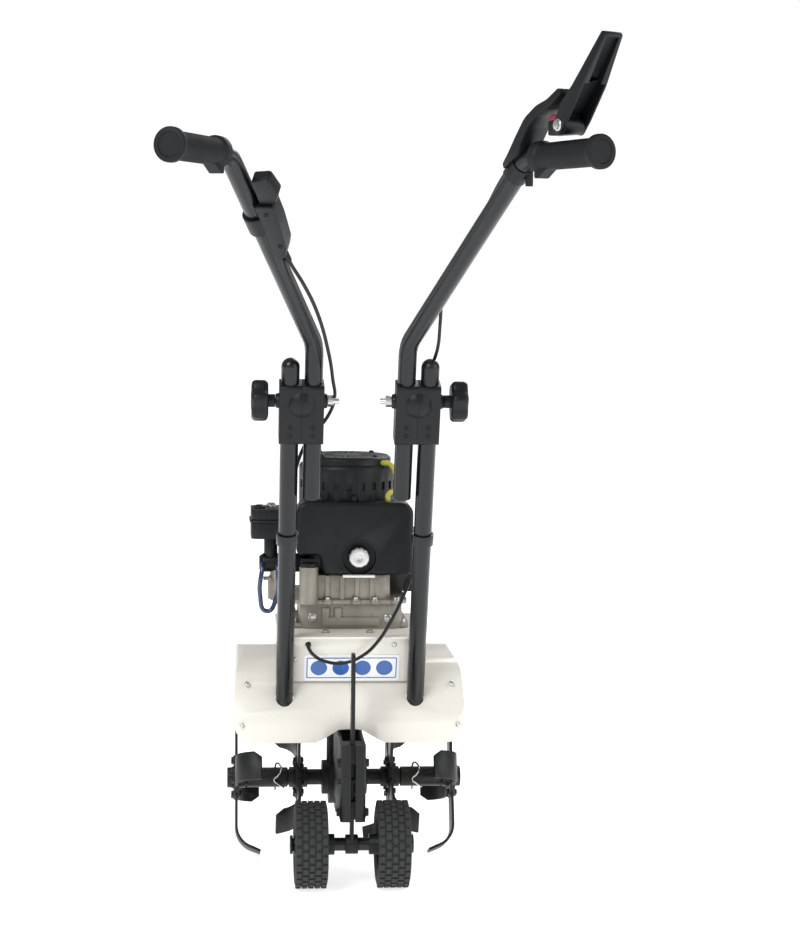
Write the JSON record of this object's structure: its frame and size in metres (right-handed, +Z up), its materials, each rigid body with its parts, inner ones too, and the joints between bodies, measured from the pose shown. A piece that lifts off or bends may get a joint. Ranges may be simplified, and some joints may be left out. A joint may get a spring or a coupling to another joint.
{
  "type": "garden tiller",
  "caption": "Walk-behind garden tiller with bladed tine rotors under a fender, small engine, folding handlebars and transport wheels on a depth stake.",
  "frame": {"origin": "on the ground under the middle of the machine's bounding box", "axes": "+X operator's right, +Y forwards, +Z up"},
  "size_m": [0.5492, 0.9084, 1.196],
  "materials": {
    "cast_case": "black painted cast housing",
    "cream_paint": "cream powder coat on pressed sheet",
    "label_white": "blank white label",
    "crankcase_alu": "die-cast aluminium",
    "black_plastic": "moulded black plastic",
    "steel_bright": "zinc plated steel",
    "black_paint": "black powder coat on steel tube",
    "tine_steel": "black paint on tine steel",
    "muffler_steel": "heat-darkened steel",
    "tyre_rubber": "moulded rubber",
    "grip_rubber": "soft grip rubber",
    "fuel_line": "yellow-green fuel hose",
    "breather_line": "dark blue hose",
    "cable_sheath": "black cable sheath"
  },
  "bodies": {
    "root": {"gear_case": "cast_case", "engine_platform": "cream_paint", "fender_left": "cream_paint", "fender_right": "cream_paint", "label_plate": "label_white", "crankcase": "crankcase_alu", "cylinder": "crankcase_alu", "engine_cover": "black_plastic", "cover_cap": "steel_bright", "fan_housing": "black_plastic", "starter_grip": "black_plastic", "oil_filler": "black_plastic", "air_cleaner": "black_plastic", "carburettor": "crankcase_alu", "muffler": "muffler_steel", "fuel_hose": "fuel_line", "breather_hose": "breather_line", "handle_lower_left": "black_paint", "handle_lower_right": "black_paint", "joint_block_left": "black_plastic", "joint_block_right": "black_plastic", "joint_bolt_left": "steel_bright", "joint_bolt_right": "steel_bright", "knob_left": "black_plastic", "knob_right": "black_plastic", "cable_clip_left": "black_paint", "cable_clip_right": "black_paint", "stake_bracket": "black_paint", "throttle_cable": "cable_sheath", "clutch_cable": "cable_sheath"},
    "stake": {"depth_stake": "black_paint", "wheel_axle": "black_paint"},
    "left_wheel": {"wheel_left": "black_plastic", "tyre_left": "tyre_rubber"},
    "right_wheel": {"wheel_right": "black_plastic", "tyre_right": "tyre_rubber"},
    "tine_reel": {"tine_axle": "tine_steel", "tines_left_outer": "tine_steel", "tines_left_inner": "tine_steel", "tines_right_inner": "tine_steel", "tines_right_outer": "tine_steel", "axle_clips": "steel_bright"},
    "left_handle": {"handle_upper_left": "black_paint", "clamp_block_left": "black_plastic", "grip_left": "grip_rubber", "throttle_control": "black_plastic", "throttle_lever": "black_plastic"},
    "right_handle": {"handle_upper_right": "black_paint", "clamp_block_right": "black_plastic", "grip_right": "grip_rubber", "clutch_bracket": "black_plastic", "clutch_lever": "black_plastic"}
  },
  "joints": [
    {"name": "stake_slide", "type": "slide", "parent": "root", "child": "stake", "axis": [0, 0, 1], "range_m": [-0.08, 0]},
    {"name": "left_wheel_spin", "type": "hinge", "parent": "stake", "child": "left_wheel", "pos_m": [-0.059, 0.09418, 0.0625], "axis": [1, 0, 0], "continuous": true},
    {"name": "right_wheel_spin", "type": "hinge", "parent": "stake", "child": "right_wheel", "pos_m": [0.059, 0.09418, 0.0625], "axis": [1, 0, 0], "continuous": true},
    {"name": "tine_reel_spin", "type": "hinge", "parent": "root", "child": "tine_reel", "pos_m": [0, 0.29418, 0.11412], "axis": [1, 0, 0], "continuous": true},
    {"name": "left_handle_fold", "type": "hinge", "parent": "root", "child": "left_handle", "pos_m": [0, 0.01918, 0.707], "axis": [-1, 0, 0], "range_deg": [0, 140], "deforming": ["throttle_cable"]},
    {"name": "right_handle_fold", "type": "hinge", "parent": "root", "child": "right_handle", "pos_m": [0, 0.01918, 0.707], "axis": [-1, 0, 0], "range_deg": [0, 140], "deforming": ["clutch_cable"]}
  ]
}
